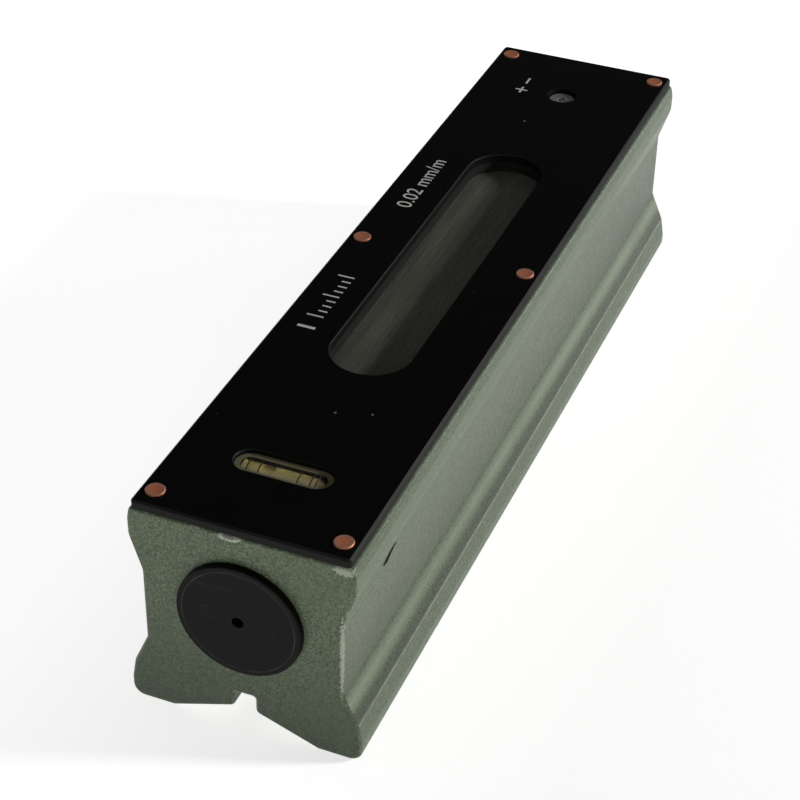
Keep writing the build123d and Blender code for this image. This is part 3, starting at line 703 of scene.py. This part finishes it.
arcs = graduation_tree()
cross_marks = [(cross_x, y * MM, cross_z) for y in (6.9, 4.5, -3.4, -5.9, -7.0)]
graduations(
    "cross_vial_graduations", arcs, cross_marks, cross_radius + arc_lift, half_angle=math.radians(38),
    width=0.28 * MM, turn=(quarter_turn, 0, 0), body="base",
)
first_mark, mark_step, marks_each_side = 14, 2, 5
main_marks = [
    (side * (first_mark + mark_step * i) * MM, 0, vial_z) for side in (-1, 1) for i in range(marks_each_side)
]
graduations(
    "main_vial_graduations", arcs, main_marks, vial_radius + arc_lift, half_angle=math.radians(40),
    width=0.2 * MM, turn=(quarter_turn, 0, quarter_turn), body="carrier",
)


# Matt white studio floor with painted light: it glows a little, most at the near end, where
# the level's shadow falls, least on the front side where the lamps light it, and evenly far away.
def white_floor():
    made, tree, place = new_material("matt_white_floor")
    x, y = put(tree, SPLIT, {0: place}).outputs[:2]
    away = put(tree, VECTOR, {0: place}, operation="LENGTH")
    painted_floor_glow = most(
        tree,
        [
            put(tree, RANGE, {0: y, 1: -60 * MM, 2: 60 * MM, 3: 0.58, 4: 0.84}),
            put(tree, RANGE, {0: x, 1: -180 * MM, 2: -100 * MM, 3: 1.32, 4: 0.0}),
            put(tree, RANGE, {0: away, 1: 0.8, 2: 1.3}),
        ],
    )
    fibre = grain(tree, place, 2 * MM, 2.0)
    values = {
        "Base Color": coated(tree, linear("#f4f4f3"), [(fibre, "#fbfbfa")]),
        "Roughness": 0.9,
        "Emission Color": linear("#ffffff"),
        "Emission Strength": painted_floor_glow,
    }
    put(tree, OUTPUT, {"Surface": put(tree, PRINCIPLED, values)})
    return made


floor_half = 12.0
floor_corners = [(-1, -1), (1, -1), (1, 1), (-1, 1)]
floor_mesh = bpy.data.meshes.new("floor")
floor_mesh.from_pydata([(x * floor_half, y * floor_half, 0) for x, y in floor_corners], [], [(0, 1, 2, 3)])
floor_mesh.materials.append(white_floor())
scene_link(bpy.data.objects.new("floor", floor_mesh))

# Every lamp faces the middle of the level
target = Vector((0, 0, 25 * MM))


def lamp(name, azimuth, elevation, distance, size, power):
    """A square lamp that faces the level. Azimuth 0 is the front side, 90 the far end."""
    light = bpy.data.lights.new(name, "AREA")
    light.size = size
    light.energy = power
    around, above = math.radians(azimuth), math.radians(elevation)
    way = Vector((math.sin(around) * math.cos(above), -math.cos(around) * math.cos(above), math.sin(above)))
    stand = scene_link(bpy.data.objects.new(name, light))
    stand.location = target + way * distance
    stand.rotation_euler = way.to_track_quat("Z", "Y").to_euler()


lamp("front_lamp", azimuth=20, elevation=22.5, distance=1.2, size=0.16, power=8.5)
lamp("low_side_lamp", azimuth=51, elevation=4, distance=1.2, size=0.3, power=2.5)
lamp("overhead_lamp", azimuth=200, elevation=78, distance=1.3, size=1.0, power=1.1)
lamp("near_end_lamp", azimuth=-80, elevation=14, distance=1.4, size=0.8, power=2.2)

# The room: dim where it lights the level, white where it is seen
world = bpy.data.worlds.new("studio")
world.use_nodes = True
world.node_tree.nodes.clear()
seen = put(world.node_tree, "ShaderNodeLightPath").outputs["Is Camera Ray"]
room_light = put(world.node_tree, RANGE, {0: seen, 3: 0.04, 4: 1.0})
room = put(world.node_tree, "ShaderNodeBackground", {"Color": linear("#ffffff"), "Strength": room_light})
put(world.node_tree, "ShaderNodeOutputWorld", {"Surface": room})
scene.world = world

# Camera: the photo's place, from its direction round the level and a slight roll
camera_azimuth = math.radians(-68.535)
camera_elevation = math.radians(35.932)
camera_roll = math.radians(1.21)
camera_place = Vector((-350.04, -128.57, 280.50)) * MM
back = Vector(
    (
        math.sin(camera_azimuth) * math.cos(camera_elevation),
        -math.cos(camera_azimuth) * math.cos(camera_elevation),
        math.sin(camera_elevation),
    )
)
level_right = Vector((0, 0, 1)).cross(back).normalized()
level_up = back.cross(level_right)
right = level_right * math.cos(camera_roll) + level_up * math.sin(camera_roll)
up = level_up * math.cos(camera_roll) - level_right * math.sin(camera_roll)
camera_data = bpy.data.cameras.new("camera")
camera_data.sensor_width = 36
camera_data.lens = 92.41
camera_data.clip_start = 0.01
camera = scene_link(bpy.data.objects.new("camera", camera_data))
camera.matrix_world = Matrix.Translation(camera_place) @ Matrix((right, up, back)).transposed().to_4x4()
scene.camera = camera
scene.view_settings.view_transform = "Standard"
